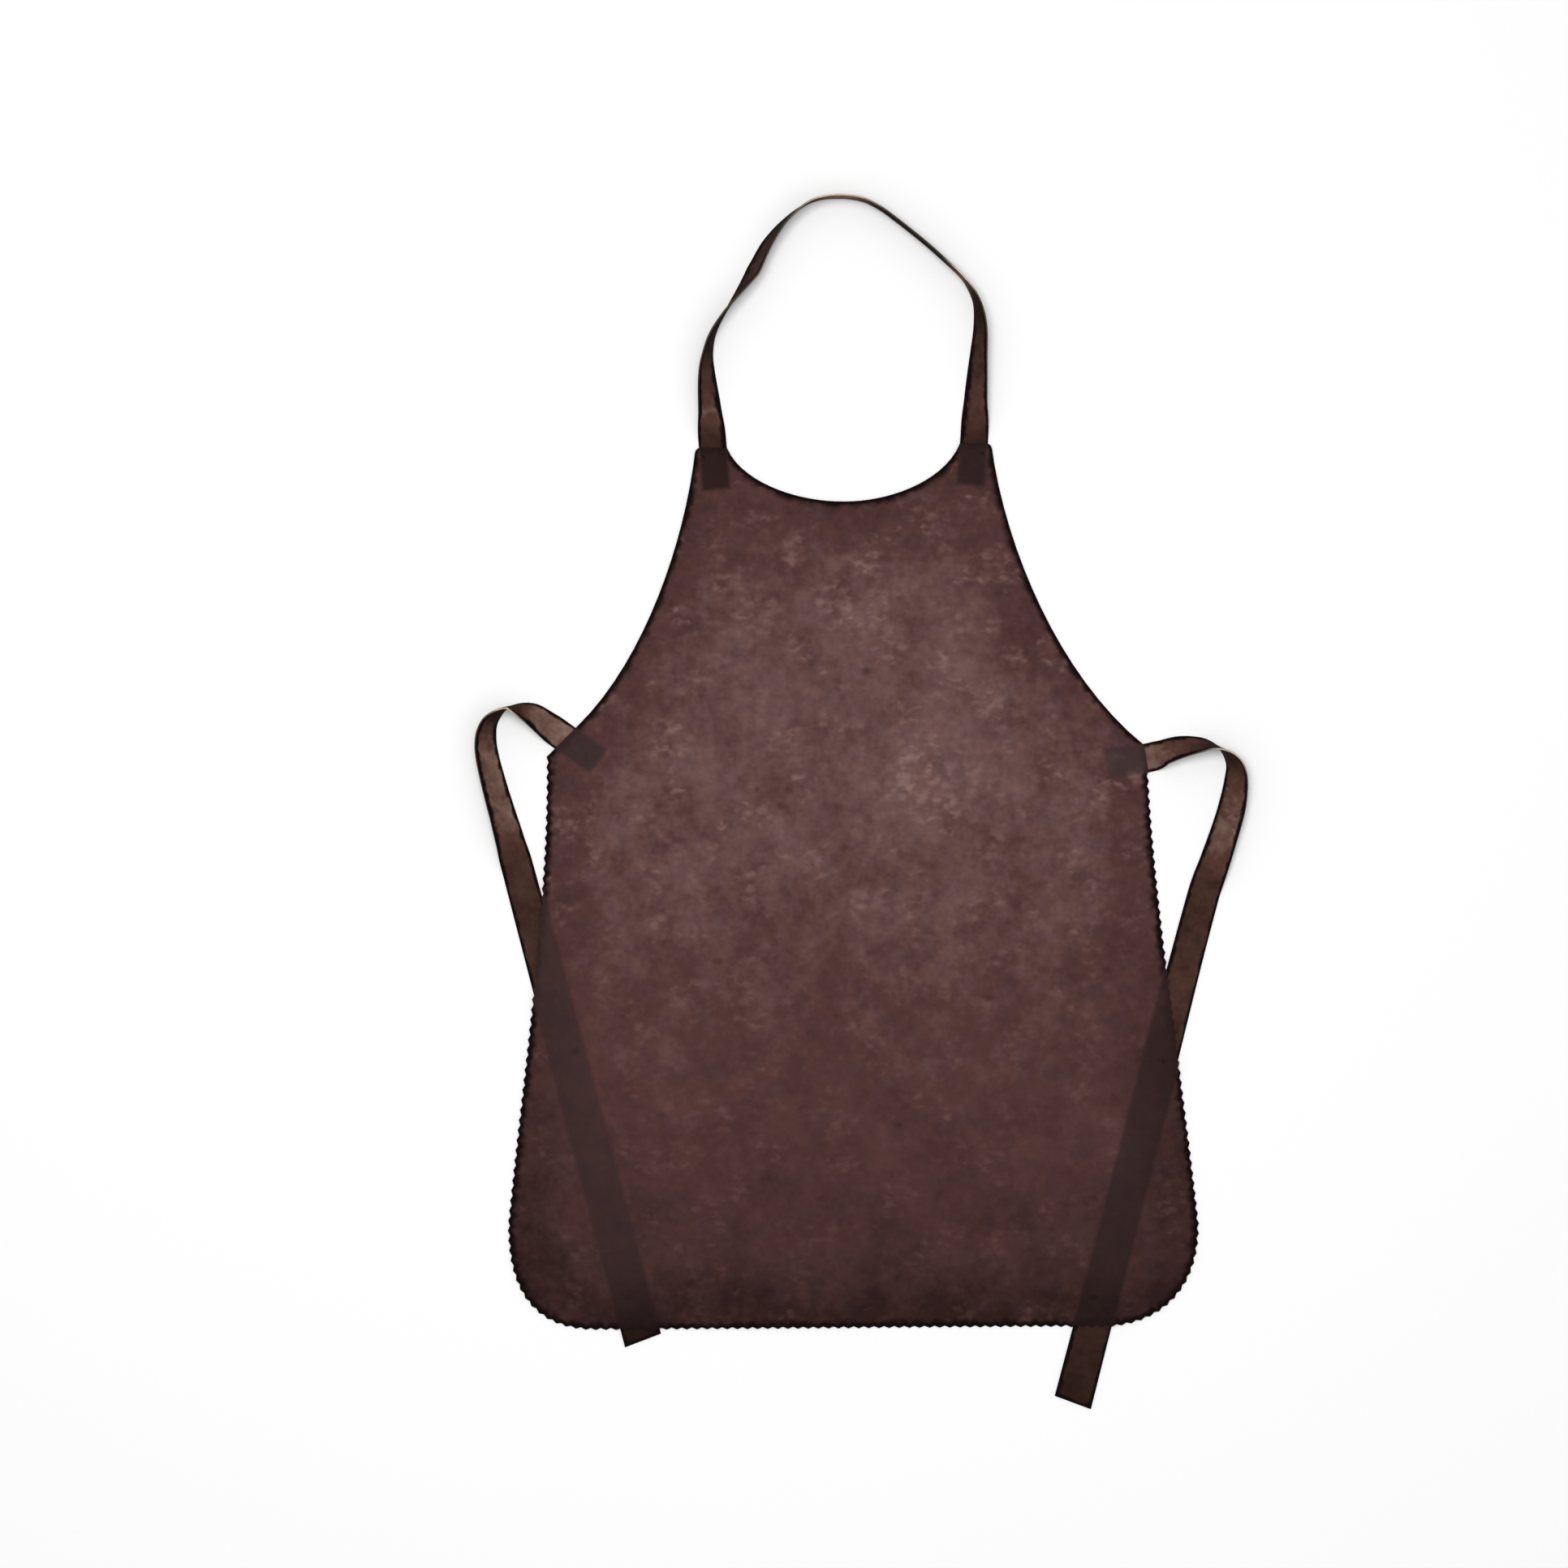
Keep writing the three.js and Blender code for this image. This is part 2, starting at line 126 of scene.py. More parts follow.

# Each strap: its heading at its first end, how light it is and how wide its dark lines are as shares of
# the values above, its two ends and its marks. An end: the painted shadow it casts through the panel that
# lies over it, as a tint, how light the strap is where it goes under the panel, as painted shade, and over
# what length it takes on its own tone. A mark, where a lit cut edge gets a painted highlight and the face
# painted light or painted shade, or where a free end is darker: its place and reach as shares of the
# strap's length, how light the cut edge and the face are there, and how wide the dark lines.
STRAPS = {
    "neck_strap": {
        "start": Vector((-1, 0, 0)), "lightness": 0.75, "left": 0.75, "right": 1.5,
        "ends": [
            {"tint": (0.35, 0.39, 0.35), "tone": 0.20, "reach": 20 * MM},
            {"tint": (0.42, 0.48, 0.47), "tone": 0.20, "reach": 30 * MM},
        ],
        "marks": [
            # painted highlights on the lit top of the neck loop, on its cut edge and its face
            {"along": 0.49, "reach": 0.08, "edge": 1.0, "tone": 0.65, "line": 0.5},
            {"along": 0.70, "reach": 0.04, "edge": 1.0, "tone": 0.60, "line": 0.5},
        ],
    },
    "left_tie": {
        "start": Vector((0, 1, 0)), "lightness": 1.0, "left": 1.0, "right": 0.9,
        "ends": [
            {"tint": (0.52, 0.65, 0.70), "tone": 0.60, "reach": 20 * MM},
            {"tint": (0.68, 0.77, 0.79), "tone": 0.26, "reach": 60 * MM},
        ],
        "marks": [
            # painted highlight on the lit cut edge near the top of the tie's loop, painted shade on its
            # face
            {"along": 0.14, "reach": 0.03, "edge": 0.8, "tone": 0.15, "line": 3.0},
            {"along": 1.00, "reach": 0.50, "edge": 0.0, "tone": 0.08, "line": 4.0},
        ],
    },
    "right_tie": {
        "start": Vector((0, 1, 0)), "lightness": 0.82, "left": 1.15, "right": 0.8,
        "ends": [
            {"tint": (0.63, 0.80, 0.82), "tone": 0.60, "reach": 20 * MM},
            {"tint": (0.57, 0.65, 0.66), "tone": 0.31, "reach": 60 * MM},
        ],
        "marks": [
            # painted highlight on the lit cut edge near the top of the tie's loop, painted shade on its
            # face
            {"along": 0.16, "reach": 0.04, "edge": 0.8, "tone": 0.15, "line": 3.0},
            {"along": 1.00, "reach": 0.50, "edge": 0.0, "tone": 0.14, "line": 4.0},
        ],
    },
}


def smooth_step(share):
    share = min(max(share, 0.0), 1.0)
    return share * share * (3 - 2 * share)


def between_values(low, high, share):
    return low + (high - low) * share


def painted_look_by_turn(upward):
    """The painted light and shade of a strap turned this far, as tone and line width, read evenly between
    the rows on either side
    """
    for before, after in zip(PAINTED_LOOKS_BY_TURN, PAINTED_LOOKS_BY_TURN[1:]):
        if upward <= after["upward"]:
            share = (upward - before["upward"]) / (after["upward"] - before["upward"])
            return [between_values(before[column], after[column], share) for column in ("tone", "line")]
    return PAINTED_LOOKS_BY_TURN[-1]["tone"], PAINTED_LOOKS_BY_TURN[-1]["line"]


def strap_look(strap, upward, along, clear):
    """The tone and the line width of a strap, with their painted light and shade, and the cut edge's
    painted light, at a share of its length.

    clear says how far the place is from each of the stretches that lie flat under the panel.
    """
    tone, line = painted_look_by_turn(upward)
    tone *= strap["lightness"]
    painted_edge_light = EDGE_TONE
    # painted shade where the strap goes under the panel
    for end, distance in zip(strap["ends"], clear):
        tone = between_values(end["tone"], tone, smooth_step(distance / end["reach"]))
    # marks: painted highlights on lit cut edges and faces, painted shade on turned faces, darker free ends
    for mark in strap["marks"]:
        share = smooth_step(1 - abs(along - mark["along"]) / mark["reach"])
        tone = between_values(tone, mark["tone"], share)
        line = between_values(line, mark["line"], share)
        painted_edge_light = between_values(painted_edge_light, mark["edge"], share)
    return tone, line, painted_edge_light


# Straps, read from their construction solids

def solid_rings(node, start):
    """Corners of a strap solid's cross-sections, from the end that lies furthest towards start"""
    bm = bmesh.new()
    bm.from_mesh(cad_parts[node].data)
    bmesh.ops.remove_doubles(bm, verts=bm.verts, dist=WELD)
    ends = [vert for vert in bm.verts if len(vert.link_edges) < RING_LINKS]
    ring = set(sorted(ends, key=lambda vert: vert.co.dot(start))[-RING_CORNERS:])
    seen = set()
    rings = []
    while ring:
        rings.append([vert.co.copy() for vert in sorted(ring, key=lambda vert: vert.index)])
        seen |= ring
        ring = {edge.other_vert(vert) for vert in ring for edge in vert.link_edges} - seen
    bm.free()
    return rings


def middle(corners):
    return sum(corners, Vector()) / len(corners)


def strap_sections(node, start):
    """The middles of a strap's two cut edges and the way its face points, section by section"""
    rings = solid_rings(node, start)
    heading = middle(rings[1]) - middle(rings[0])
    up = Vector((0, 0, 1))
    left_way = up.cross(heading)
    sections = []
    for first, *others in rings:
        partner, *far_pair = sorted(others, key=lambda corner: (corner - first).length)
        left, right = middle([first, partner]), middle(far_pair)
        if (left - right).dot(left_way) < 0:
            left, right = right, left
        left_way = left - right
        face = (first - partner).normalized()
        up = face if face.dot(up) > 0 else -face
        sections.append(Section(left, right, up))
    return sections


def running_lengths(sections):
    """How far along the strap each section lies"""
    centres = [middle([section.left, section.right]) for section in sections]
    lengths = [0.0]
    for before, after in zip(centres, centres[1:]):
        lengths.append(lengths[-1] + (after - before).length)
    return lengths


def cut_size(sections):
    """The width, length and flat area that a strap was cut to"""
    lengths = running_lengths(sections)
    widths = [(section.left - section.right).length for section in sections]
    rows = zip(lengths, lengths[1:], widths, widths[1:])
    area = sum((after - before) * (near + far) / 2 for before, after, near, far in rows)
    return (max(widths), lengths[-1]), area


def section_at(sections, lengths, place):
    """The smoothly interpolated section at a place along the strap"""
    last = len(sections) - 1
    index = max(i for i in range(last) if lengths[i] <= place or i == 0)
    span = lengths[index + 1] - lengths[index]
    share = (place - lengths[index]) / span

    def rate(row, column):
        low, high = max(row - 1, 0), min(row + 1, last)
        return (sections[high][column] - sections[low][column]) / (lengths[high] - lengths[low])

    def between(column):
        here, there = sections[index][column], sections[index + 1][column]
        ease = smooth_step(share)
        leaving = share * (1 - share) ** 2 * span
        arriving = share * share * (share - 1) * span
        return here.lerp(there, ease) + rate(index, column) * leaving + rate(index + 1, column) * arriving

    return Section(*(between(column) for column in range(len(Section._fields))))


def flat_stretch(sections, tint):
    """The straight stretch that a strap lies flat along, from its first section"""
    squarely = abs(sections[0].up.z) * FLAT_UP
    run = []
    for section in sections:
        if abs(section.up.z) < squarely:
            break
        run.append(section)
    start = middle([run[0].left, run[0].right]).to_2d()
    end = middle([run[-1].left, run[-1].right]).to_2d()
    width = max((section.left - section.right).length for section in run)
    return Stretch(start, (end - start).normalized(), (end - start).length, width, tint)


def finish_mesh(bm, name, materials):
    """The bmesh as a named object at the origin, smooth apart from its sharp edges"""
    for face in bm.faces:
        face.smooth = True
    for edge in bm.edges:
        edge.smooth = not edge.is_manifold or edge.calc_face_angle() < SHARP_ANGLE
    mesh = bpy.data.meshes.new(name)
    bm.to_mesh(mesh)
    bm.free()
    for material in materials:
        mesh.materials.append(material)
    piece = bpy.data.objects.new(name, mesh)
    bpy.context.collection.objects.link(piece)
    return piece


def make_strap(name, sections, strap, stretches, materials):
    """A strap as one leather ribbon along its sections, with its face, its back and its cut edges"""
    lengths = running_lengths(sections)
    first_flat, last_flat = (stretch.length for stretch in stretches)
    bm = bmesh.new()
    bmesh.ops.create_grid(
        bm, x_segments=round(lengths[-1] / STRAP_CELL), y_segments=STRAP_CELLS_ACROSS, size=0.5)
    from_edge = bm.verts.layers.float.new("edge distance")
    line_width = bm.verts.layers.float.new("line width")
    tone = bm.verts.layers.float.new("tone")
    painted_edge_light = bm.verts.layers.float.new("painted edge light")
    along_across = bm.loops.layers.uv.new("along and across")
    for vert in bm.verts:
        place = (vert.co.x + 0.5) * lengths[-1]
        side = vert.co.y
        section = section_at(sections, lengths, place)
        width = (section.left - section.right).length
        bow = STRAP_BOW * (1 - abs(section.up.z)) * (1 - 4 * side * side)
        vert[from_edge] = min((0.5 - abs(side)) * width, place, lengths[-1] - place)
        clear = (place - first_flat, lengths[-1] - last_flat - place)
        # tone and line width carry painted light and shade by the strap's turn, its ends and its marks
        vert[tone], line, vert[painted_edge_light] = strap_look(
            strap, abs(section.up.z), place / lengths[-1], clear)
        vert[line_width] = line * strap["left" if side > 0 else "right"] * MM
        for loop in vert.link_loops:
            loop[along_across].uv = (place, side * width)
        vert.co = section.right.lerp(section.left, side + 0.5) + section.up * bow
        vert.co.z = max(vert.co.z, STRAP_THICKNESS / 2 * abs(section.up.z))
    ribbon = finish_mesh(bm, name, materials)
    thicken = ribbon.modifiers.new("leather thickness", "SOLIDIFY")
    thicken.thickness = STRAP_THICKNESS
    thicken.offset = 0
    thicken.use_even_offset = True
    thicken.material_offset = BACK_PLACE
    thicken.material_offset_rim = EDGE_PLACE
    soften = ribbon.modifiers.new("worn corners", "BEVEL")
    soften.width = EDGE_ROUND
    soften.segments = EDGE_SEGMENTS
    soften.limit_method = "ANGLE"
    soften.angle_limit = SHARP_ANGLE
    return ribbon


# The panel, cut from its outline and laid over the straps' hidden ends

def panel_pattern():
    """The flat pattern that the panel is cut to, as one face on the floor"""
    bm = bmesh.new()
    bm.from_mesh(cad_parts["panel"].data)
    bmesh.ops.remove_doubles(bm, verts=bm.verts, dist=WELD)
    bm.normal_update()
    rest = [face for face in bm.faces if face.normal.z < FACES_UP]
    bmesh.ops.delete(bm, geom=rest, context="FACES")
    for vert in bm.verts:
        vert.co.z = 0
    bmesh.ops.remove_doubles(bm, verts=bm.verts, dist=WELD)
    bmesh.ops.dissolve_faces(bm, faces=bm.faces[:])
    bmesh.ops.remove_doubles(bm, verts=bm.verts, dist=SHORTEST_EDGE)
    straight = [vert for vert in bm.verts if vert.calc_edge_angle(0) < STRAIGHT_ANGLE]
    bmesh.ops.dissolve_verts(bm, verts=straight)
    bm.normal_update()
    return bm


def edge_tree(bm):
    """A search tree of closely spaced points along the pattern's cut edge"""
    points = []
    for edge in bm.edges:
        if edge.is_boundary:
            start, end = (vert.co for vert in edge.verts)
            steps = math.ceil(edge.calc_length() / EDGE_SAMPLE)
            points.extend(start.lerp(end, step / steps) for step in range(steps))
    tree = kdtree.KDTree(len(points))
    for index, point in enumerate(points):
        tree.insert(point, index)
    tree.balance()
    return tree


def cut_into_cells(bm):
    """Cuts the whole mesh along evenly spaced lines, so that it can bend"""
    low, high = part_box("panel")
    for axis in (Vector((1, 0, 0)), Vector((0, 1, 0))):
        start = low.dot(axis)
        lines = math.floor((high.dot(axis) - start) / CELL)
        for line in range(1, lines + 1):
            bmesh.ops.bisect_plane(
                bm, geom=[*bm.verts, *bm.edges, *bm.faces], dist=WELD,
                plane_co=axis * (start + line * CELL), plane_no=axis)


def climb(point, stretches):
    """How far the straps beneath raise the panel at a point"""
    lift = STRAP_THICKNESS + CLEARANCE
    height = 0.0
    for stretch in stretches:
        offset = point - stretch.start
        along = offset.dot(stretch.heading)
        across = abs(offset.cross(stretch.heading))
        outside = math.hypot(max(-along, along - stretch.length, 0), max(across - stretch.width / 2, 0))
        share = 1 - (outside - CLEARANCE) / DRAPE_RAMP
        height = max(height, lift * smooth_step(share))
    return height


def swell(point):
    """The slow rise and fall of leather that doesn't lie quite flat"""
    place = point.to_3d() / SWELL_LENGTH
    broad = noise.noise(place) * BROAD_SWELL
    small = noise.noise(place * SMALL_SWELL_RATE + SMALL_SWELL_SHIFT) * SMALL_SWELL
    return SWELL_HEIGHT * min(max(SWELL_MIDDLE + broad + small, 0), 1)


def make_panel(name, bm, stretches, materials):
    """The apron's panel from its pattern: its corners worn, then laid over the straps' hidden stretches"""
    tree = edge_tree(bm)
    body = bmesh.ops.extrude_face_region(bm, geom=bm.faces[:])["geom"]
    lifted = [item for item in body if isinstance(item, bmesh.types.BMVert)]
    bmesh.ops.translate(bm, verts=lifted, vec=(0, 0, PANEL_THICKNESS))
    bmesh.ops.recalc_face_normals(bm, faces=bm.faces)
    rims = [
        edge for edge in bm.edges
        if {round(abs(face.normal.z)) for face in edge.link_faces} == {0, 1}
    ]
    bmesh.ops.bevel(
        bm, geom=rims, affect="EDGES", offset=EDGE_ROUND, segments=EDGE_SEGMENTS,
        profile=0.5, material=-1)
    bm.normal_update()
    for width in EDGE_BANDS:
        inner = sorted(bm.faces, key=lambda face: face.calc_area())[-2:]
        bmesh.ops.inset_region(
            bm, faces=inner, thickness=width, use_even_offset=True, use_boundary=True)
    cut_into_cells(bm)
    bm.normal_update()
    from_edge = bm.verts.layers.float.new("edge distance")
    for face in bm.faces:
        if face.normal.z < -LEVEL:
            face.material_index = BACK_PLACE
        elif face.normal.z < LEVEL:
            face.material_index = EDGE_PLACE
    for vert in bm.verts:
        flat = vert.co.to_2d()
        vert[from_edge] = tree.find(flat.to_3d())[2]
        vert.co.z += climb(flat, stretches) + swell(flat)
    return finish_mesh(bm, name, materials)


# Colours and mottling

def linear(red, green, blue):
    """A colour as the screen shows it, 0 to 255, as the shader takes it"""
    def channel(value):
        value /= 255
        return value / 12.92 if value <= 0.04045 else ((value + 0.055) / 1.055) ** 2.4
    return (channel(red), channel(green), channel(blue), 1.0)


# Noises: the size of their largest forms, how many steps of finer forms they have, and how much each adds
NOISES = {
    "clouds": {"size": 60 * MM, "detail": 4, "roughness": 0.85},
    "clusters": {"size": 36 * MM, "detail": 2, "roughness": 0.5},
    "drift": {"size": 24 * MM, "detail": 3, "roughness": 0.6},
    "grain": {"size": 7 * MM, "detail": 1, "roughness": 0.5},
    "waver": {"size": 9 * MM, "detail": 1, "roughness": 0.5},
    "fibres": {"size": 0.9 * MM, "detail": 2, "roughness": 0.5},
}
WARP_SIZE = 6 * MM
WARP = (7 * MM, 4 * MM, 0)  # how far the warp shifts the flecks, which makes them ragged
LYING = (0.75, 1.15, 1.0)  # flecks are drawn out sideways
CELL_SIZE = 9 * MM  # of the cells that hold one dot each
PEBBLE_SIZE = 1.6 * MM
PEBBLE_SHARE = 0.5  # of the nap's height

# Ranges of a noise, and what they are mapped onto
CLUSTER_RANGE, CLUSTER_STRENGTHS = (0.47, 0.66), (0.08, 1.0)
DRIFT_RANGE = (0.42, 0.62)
DOT_REACH = (0.05, 0.62)
DOT_SHARE = 0.8
PALE_CHANCES = (0.2, 1.0)
DARK_CHANCES = (0.95, 1.0)
BLOTCH_RANGE = (0.46, 0.84)
WAVER_RANGE, WAVER_WIDTHS = (0.3, 0.7), (0.7, 1.25)
FIBRE_RANGE, NAP_ROUGHNESS = (0.3, 0.7), (0.82, 0.96)
EDGE_FIBRE_RANGE, EDGE_FIBRE_LIGHT = (0.3, 1.0), (0.6, 1.2)
LIT_TONES, LIT_MOTTLING = (0.0, 0.4), (0.1, 1.0)  # a strap's dark places show less mottling
LINE_END = 1.1  # a dark edge line has faded out at this share of its width

# Painted light by height: the panel is lightest a little above its middle, with painted shade towards the
# hem
# and a little towards the top: a share of its height from the hem, and the tone there
PANEL_PAINTED_LIGHT_BY_HEIGHT = [
    {"up": 0.00, "tone": 0.22}, {"up": 0.20, "tone": 0.41}, {"up": 0.65, "tone": 0.67},
    {"up": 1.00, "tone": 0.55},
]

# Places that are paler or darker, the first a painted pool of light, the last painted shade, the others
# paler
# or darker in tone: metres right of the skirt's midline and up from the panel's middle, what each adds to
# the tone, and how thickly it is rubbed into pale flecks
TONE_AND_PAINTED_LIGHT_PATCHES = [
    {"x": 0.064, "y": 0.094, "radius": 0.075, "tone": 0.16, "flecks": 1.0},
    {"x": 0.015, "y": 0.235, "radius": 0.060, "tone": 0.08, "flecks": 0.6},
    {"x": 0.037, "y": 0.026, "radius": 0.040, "tone": 0.06, "flecks": 0.0},
    {"x": -0.160, "y": 0.125, "radius": 0.070, "tone": -0.08, "flecks": 0.0},
    {"x": -0.095, "y": 0.215, "radius": 0.060, "tone": -0.08, "flecks": 0.0},
    {"x": 0.215, "y": -0.120, "radius": 0.160, "tone": -0.05, "flecks": 0.0},
]
# painted shade: the panel darkens towards its cut edge over this reach, by up to this much tone
PAINTED_SHADE_REACH = 75 * MM
PAINTED_EDGE_SHADE = 0.20
CLOUDING_RISE = (0.3, 0.6)  # shares of the height between which the mottling grows stronger
CLOUDING_GAINS = (0.8, 1.1)
FLECK_GAINS = (0.10, 0.28)
FLECK_MIX = 0.8
SPECK_GAIN = 0.18
FLESH_TONE = 0.5
STRAP_CLOUDING = 0.9
STRAP_FLECKS = 0.15
BENEATH_SOFTNESS = 2.4 * MM
BURNISH_OVER_STRAP = 0.3  # of the dark edge line is left where the panel lies over a strap
MOTTLING_OVER_STRAP = 0.35  # and this much of the mottling
EDGE_LINE = 7 * MM
PANEL_LINE_CORE = 0.2  # share of a dark edge line's width that is dark throughout
STRAP_LINE_CORE = 0.45
NAP_DEPTH = 0.2 * MM
NAP_STRENGTH = 0.45
LEATHER_SPECULAR = 0.04

EDGE_DARK = linear(16, 8, 8)
# the olive of a lit cut edge, a painted highlight
PAINTED_LIT_EDGE_OLIVE = linear(208, 192, 164)
PANEL_BROWN = {"deep": linear(44, 27, 25), "middle": linear(80, 53, 51), "light": linear(118, 89, 85)}
STRAP_TAN = {"deep": linear(15, 7, 5), "middle": linear(80, 54, 47), "light": linear(152, 125, 112)}
PLUM_TINT = (0.92, 0.95, 1.03, 1.0)
FLECK = linear(150, 118, 108)


# Shader building

def add_node(tree, kind, inputs=None, **settings):
    """A node with its settings, and each input as a value or as the socket that feeds it"""
    node = tree.nodes.new(kind)
    for key, value in settings.items():
        setattr(node, key, value)
    for key, value in (inputs or {}).items():
        if isinstance(value, bpy.types.NodeSocket):
            tree.links.new(value, node.inputs[key])
        else:
            node.inputs[key].default_value = value
    return node


def maths(tree, operation, *values, clamp=False):
    node = add_node(tree, "ShaderNodeMath", dict(enumerate(values)), operation=operation, use_clamp=clamp)
    return node.outputs["Value"]


def vector_maths(tree, operation, *values, output="Vector"):
    node = add_node(tree, "ShaderNodeVectorMath", dict(enumerate(values)), operation=operation)
    return node.outputs[output]


def stretch_range(tree, value, low, high, to_low=0.0, to_high=1.0):
    """Maps a range of values smoothly onto another one"""
    node = add_node(tree, "ShaderNodeMapRange", {
        "Value": value, "From Min": low, "From Max": high, "To Min": to_low, "To Max": to_high,
    }, interpolation_type="SMOOTHSTEP")
    return node.outputs["Result"]


def stretch_straight(tree, value, low, high, to_low=0.0, to_high=1.0):
    """Maps a range of values evenly onto another one"""
    node = add_node(tree, "ShaderNodeMapRange", {
        "Value": value, "From Min": low, "From Max": high, "To Min": to_low, "To Max": to_high,
    })
    return node.outputs["Result"]


def tone_curve(tree, share, tones):
    """The tone at a share of the way along a table of tones"""
    node = add_node(tree, "ShaderNodeValToRGB", {"Fac": share})
    ramp = node.color_ramp
    ramp.interpolation = "CARDINAL"
    while len(ramp.elements) < len(tones):
        ramp.elements.new(0.5)
    for element, row in zip(ramp.elements, tones):
        element.position = row["up"]
        element.color = (row["tone"],) * 3 + (1.0,)
    return node.outputs["Color"]


def mix_colours(tree, share, under, over, blend_type="MIX"):
    colour_sockets = {"factor": 0, "under": 6, "over": 7, "result": 2}
    node = add_node(tree, "ShaderNodeMix", {
        colour_sockets["factor"]: share,
        colour_sockets["under"]: under,
        colour_sockets["over"]: over,
    }, data_type="RGBA", blend_type=blend_type)
    return node.outputs[colour_sockets["result"]]


def noise_value(tree, position, name):
    """One of the noises of the table"""
    row = NOISES[name]
    node = add_node(tree, "ShaderNodeTexNoise", {
        "Vector": position, "Scale": 1 / row["size"], "Detail": row["detail"],
        "Roughness": row["roughness"],
    })
    return node.outputs["Fac"]


def new_group(name, inputs, outputs):
    """An empty node group with named sockets, its input node and its output node"""
    tree = bpy.data.node_groups.new(name, "ShaderNodeTree")
    for label, kind in inputs.items():
        tree.interface.new_socket(label, in_out="INPUT", socket_type=f"NodeSocket{kind}")
    for label, kind in outputs.items():
        tree.interface.new_socket(label, in_out="OUTPUT", socket_type=f"NodeSocket{kind}")
    return tree, tree.nodes.new("NodeGroupInput"), tree.nodes.new("NodeGroupOutput")


def use_group(tree, group, **inputs):
    """One use of a node group; an input called line_width feeds its socket Line width"""
    named = {key.replace("_", " ").capitalize(): value for key, value in inputs.items()}
    return add_node(tree, "ShaderNodeGroup", named, node_tree=group)


def nubuck_mottling():
    """Clouding at every scale, clusters of ragged pale flecks, a few dark specks and a drift of hue"""
    tree, given, made = new_group(
        "nubuck mottling", {"Position": "Vector", "Rubbed": "Float"},
        {"Clouding": "Float", "Flecks": "Float", "Specks": "Float", "Drift": "Float"})
    position = given.outputs["Position"]
    clouds = noise_value(tree, position, "clouds")
    clusters = stretch_range(
        tree, noise_value(tree, position, "clusters"), *CLUSTER_RANGE, *CLUSTER_STRENGTHS)
    clusters = maths(tree, "ADD", clusters, given.outputs["Rubbed"])
    drift = stretch_range(tree, noise_value(tree, position, "drift"), *DRIFT_RANGE)

    warp = add_node(tree, "ShaderNodeTexNoise", {"Vector": position, "Scale": 1 / WARP_SIZE})
    shift = vector_maths(tree, "MULTIPLY", warp.outputs["Color"], WARP)
    lying = vector_maths(tree, "MULTIPLY", vector_maths(tree, "ADD", position, shift), LYING)
    cells = add_node(tree, "ShaderNodeTexVoronoi", {"Vector": lying, "Scale": 1 / CELL_SIZE})
    spots = stretch_range(tree, cells.outputs["Distance"], *DOT_REACH, 1.0, 0.0)
    chances = add_node(tree, "ShaderNodeSeparateColor", {"Color": cells.outputs["Color"]})
    pale = stretch_range(tree, chances.outputs["Red"], *PALE_CHANCES)
    dark = stretch_range(tree, chances.outputs["Green"], *DARK_CHANCES)
    dots = maths(tree, "MULTIPLY", maths(tree, "MULTIPLY", spots, pale), DOT_SHARE)
    blotches = stretch_range(tree, noise_value(tree, lying, "grain"), *BLOTCH_RANGE)

    tree.links.new(maths(tree, "SUBTRACT", clouds, 0.5), made.inputs["Clouding"])
    flecks = maths(tree, "MULTIPLY", maths(tree, "MAXIMUM", blotches, dots), clusters)
    tree.links.new(flecks, made.inputs["Flecks"])
    tree.links.new(maths(tree, "MULTIPLY", spots, dark), made.inputs["Specks"])
    tree.links.new(drift, made.inputs["Drift"])
    return tree


def suede_nap():
    """The fine raised nap: its height and how it scatters light"""
    tree, given, made = new_group(
        "suede nap", {"Position": "Vector"}, {"Height": "Float", "Roughness": "Float"})
    position = given.outputs["Position"]
    pebbles = add_node(tree, "ShaderNodeTexVoronoi", {
        "Vector": position, "Scale": 1 / PEBBLE_SIZE}, feature="SMOOTH_F1").outputs["Distance"]
    fibres = noise_value(tree, position, "fibres")
    height = maths(tree, "ADD", maths(tree, "MULTIPLY", pebbles, PEBBLE_SHARE), fibres)
    tree.links.new(height, made.inputs["Height"])
    roughness = stretch_range(tree, fibres, *FIBRE_RANGE, *NAP_ROUGHNESS)
    tree.links.new(roughness, made.inputs["Roughness"])
    return tree


def burnished_edge():
    """The dark line along a cut edge, a little uneven, fading into the leather"""
    tree, given, made = new_group(
        "burnished edge",
        {"Position": "Vector", "Distance": "Float", "Line width": "Float", "Core": "Float"},
        {"Mask": "Float"})
    waver = noise_value(tree, given.outputs["Position"], "waver")
    width = maths(tree, "MULTIPLY", given.outputs["Line width"],
                  stretch_range(tree, waver, *WAVER_RANGE, *WAVER_WIDTHS))
    share = maths(tree, "DIVIDE", given.outputs["Distance"], width)
    mask = stretch_range(tree, share, given.outputs["Core"], LINE_END, 1.0, 0.0)
    tree.links.new(mask, made.inputs["Mask"])
    return tree


